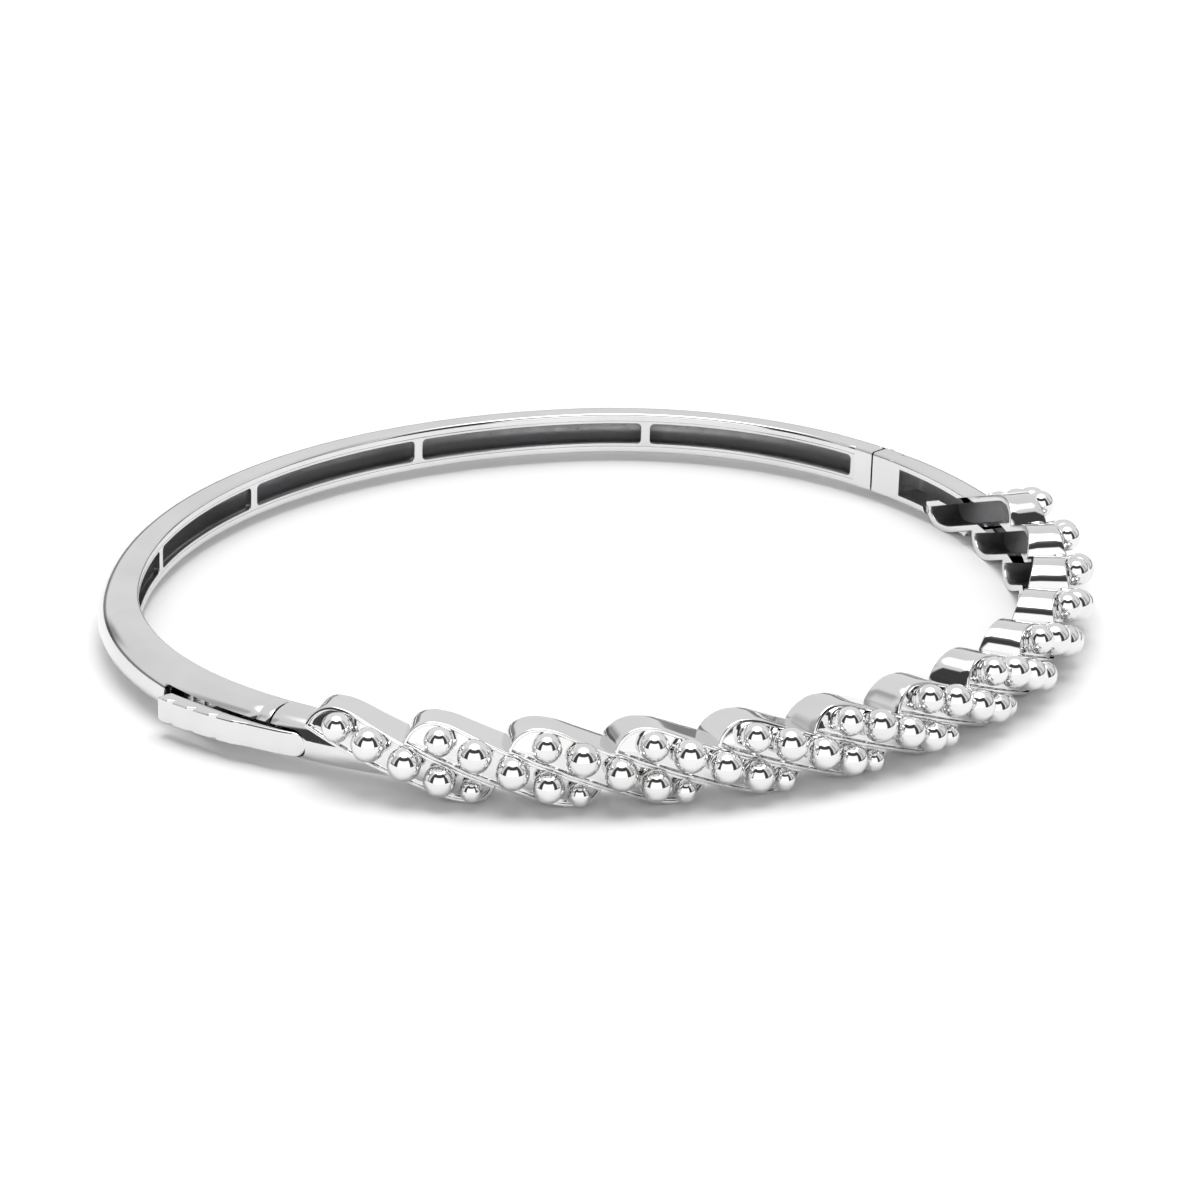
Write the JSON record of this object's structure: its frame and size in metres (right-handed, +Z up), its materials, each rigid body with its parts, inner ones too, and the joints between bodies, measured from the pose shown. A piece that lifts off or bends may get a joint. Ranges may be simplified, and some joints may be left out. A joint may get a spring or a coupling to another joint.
{
  "type": "bangle bracelet",
  "caption": "Hinged oval bangle in polished white metal: plain hollow rear half, front half of beaded leaf panels, side hinge and push-tab tongue clasp.",
  "frame": {"origin": "under the middle of the bangle's overall box, on the plane that its lobes rest on", "axes": "+X from the clasp to the hinge, -Y towards the beaded front half, +Y towards the plain rear half, +Z up through the wrist opening"},
  "size_m": [0.0662, 0.0612, 0.005],
  "materials": {
    "polished_silver": "polished, rhodium plated",
    "bead_silver": "mirror polished beads",
    "band_silver": "polished, rhodium plated",
    "inner_silver": "polished, fine wear lines from the wrist",
    "spring_silver": "drawn strip, satin",
    "pin_silver": "drawn wire, cut ends",
    "tab_silver": "polished, finger worn ridges"
  },
  "bodies": {
    "front_half": {"panel_01": "polished_silver", "panel_02": "polished_silver", "panel_03": "polished_silver", "panel_04": "polished_silver", "panel_05": "polished_silver", "panel_06": "polished_silver", "panel_07": "polished_silver", "panel_08": "polished_silver", "panel_09": "polished_silver", "panel_10": "polished_silver", "panel_11": "polished_silver", "panel_12": "polished_silver", "panel_13": "polished_silver", "beads_01": "bead_silver", "beads_02": "bead_silver", "beads_03": "bead_silver", "beads_04": "bead_silver", "beads_05": "bead_silver", "beads_06": "bead_silver", "beads_07": "bead_silver", "beads_08": "bead_silver", "beads_09": "bead_silver", "beads_10": "bead_silver", "beads_11": "bead_silver", "beads_12": "bead_silver", "beads_13": "bead_silver", "clasp_shoulder": "band_silver", "hinge_shoulder": "band_silver", "keeper_bar": "spring_silver", "front_hinge_knuckle": "band_silver", "hinge_pin": "pin_silver"},
    "rear_half": {"rear_shell": "band_silver", "rear_inner_plate": "inner_silver", "rear_hinge_knuckle": "band_silver", "rear_clasp_cap": "band_silver", "tongue_lower_leaf": "spring_silver"},
    "tab": {"thumb_tab": "tab_silver", "tab_neck": "spring_silver", "tongue_upper_leaf": "spring_silver", "catch_lug": "spring_silver"}
  },
  "joints": [
    {"name": "bangle_hinge", "type": "hinge", "parent": "front_half", "child": "rear_half", "pos_m": [0.03218, -0.0001, 0.00205], "axis": [0, 0, -1], "range_deg": [0, 55]},
    {"name": "tab_press", "type": "hinge", "parent": "rear_half", "child": "tab", "pos_m": [-0.03017, -0.0029, 0.00205], "axis": [0, 0, -1], "range_deg": [0, 3], "stiffness_Nm_per_rad": 0.02}
  ]
}
